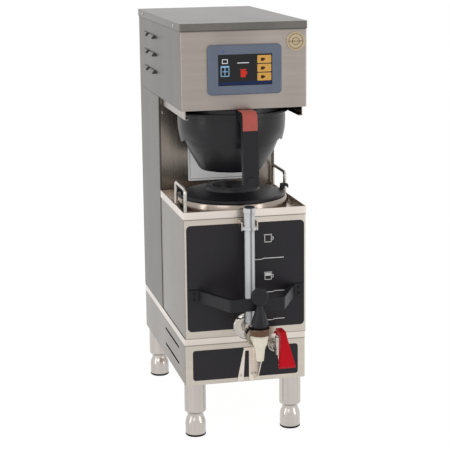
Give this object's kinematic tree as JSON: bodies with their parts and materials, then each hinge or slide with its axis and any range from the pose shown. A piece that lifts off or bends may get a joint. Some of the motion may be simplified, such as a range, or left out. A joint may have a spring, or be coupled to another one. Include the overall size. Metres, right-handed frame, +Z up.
{
  "type": "satellite coffee brewer",
  "caption": "Upright coffee brewer on four legs, with a slide-out brew cone over a removable satellite server with a lift-off lid, sight gauge and faucet.",
  "frame": {"origin": "centre of the footprint on the floor", "axes": "+Z up, -Y towards the front with the faucet and display, +X to the right seen from the front"},
  "size_m": [0.24, 0.5634, 0.7575],
  "materials": {
    "steel": "brushed",
    "black_panel": "satin",
    "black_plastic": "fine grain",
    "chrome": "polished",
    "red_plastic": "gloss",
    "salmon_plastic": "satin",
    "cream_plastic": "satin",
    "clear_plastic": "clear",
    "bezel_grey": "satin",
    "screen_glass": "gloss",
    "lamp": "clear",
    "badge_metal": "polished",
    "card": "plain",
    "board": "satin",
    "brass": "satin",
    "silicone": "matt"
  },
  "bodies": {
    "machine": {"base_shell": "steel", "base_top": "steel", "base_front_panel": "black_panel", "faucet_guard": "steel", "leg_tubes": "steel", "column_shell": "steel", "column_front": "steel", "rear_panel": "steel", "hood_shell": "steel", "hood_front": "steel", "top_cover": "steel", "case_screws": "chrome", "touch_bezel": "bezel_grey", "touch_screen": "screen_glass", "status_lamp": "lamp", "badge": "badge_metal", "instruction_card": "card", "rail_left": "steel", "rail_right": "steel", "spray_head": "steel", "brew_tube": "silicone", "water_tank": "steel", "tank_lid": "steel", "heating_element": "steel", "outlet_valve": "brass", "control_board": "board", "water_inlet": "brass", "cord_gland": "black_plastic", "tap_body": "chrome"},
    "brew_cone": {"brew_cone": "black_plastic", "cone_handle": "black_plastic", "handle_insert": "salmon_plastic", "handle_plug": "black_plastic", "wire_basket": "steel"},
    "satellite": {"sat_shell": "steel", "sat_deck": "steel", "liner": "steel", "rim_ring": "steel", "bails": "chrome", "sat_front_panel": "black_panel", "carry_handle": "black_plastic", "handle_screws": "chrome", "gauge_tube": "clear_plastic", "gauge_cap": "clear_plastic", "gauge_plug": "black_plastic", "gauge_bracket": "steel", "gauge_nut": "black_plastic", "gauge_fitting": "clear_plastic", "shank": "chrome", "shank_nut": "chrome", "faucet_body": "cream_plastic", "bonnet_ring": "chrome"},
    "lid": {"sat_lid": "black_plastic", "lid_hooks": "black_plastic"},
    "faucet_lever": {"faucet_lever": "black_plastic"},
    "tap_lever": {"tap_lever": "red_plastic"},
    "foot_front_left": {"foot_front_left": "steel"},
    "foot_front_right": {"foot_front_right": "steel"},
    "foot_rear_left": {"foot_rear_left": "steel"},
    "foot_rear_right": {"foot_rear_right": "steel"}
  },
  "joints": [
    {"name": "cone_slide", "type": "slide", "parent": "machine", "child": "brew_cone", "axis": [0, -1, 0], "range_m": [0, 0.2]},
    {"name": "satellite_slide", "type": "slide", "parent": "machine", "child": "satellite", "axis": [0, -1, 0], "range_m": [0, 0.023]},
    {"name": "lid_lift", "type": "slide", "parent": "satellite", "child": "lid", "axis": [0, 0, 1], "range_m": [0, 0.02]},
    {"name": "faucet_hinge", "type": "hinge", "parent": "satellite", "child": "faucet_lever", "pos_m": [0, -0.2633, 0.238], "axis": [1, 0, 0], "range_deg": [0, 20], "stiffness_Nm_per_rad": 0.4},
    {"name": "tap_hinge", "type": "hinge", "parent": "machine", "child": "tap_lever", "pos_m": [0.053, -0.1923, 0.203], "axis": [-1, 0, 0], "range_deg": [0, 30], "stiffness_Nm_per_rad": 0.4},
    {"name": "foot_front_left_screw", "type": "slide", "parent": "machine", "child": "foot_front_left", "axis": [0, 0, -1], "range_m": [0, 0.02]},
    {"name": "foot_front_right_screw", "type": "slide", "parent": "machine", "child": "foot_front_right", "axis": [0, 0, -1], "range_m": [0, 0.02]},
    {"name": "foot_rear_left_screw", "type": "slide", "parent": "machine", "child": "foot_rear_left", "axis": [0, 0, -1], "range_m": [0, 0.02]},
    {"name": "foot_rear_right_screw", "type": "slide", "parent": "machine", "child": "foot_rear_right", "axis": [0, 0, -1], "range_m": [0, 0.02]}
  ]
}
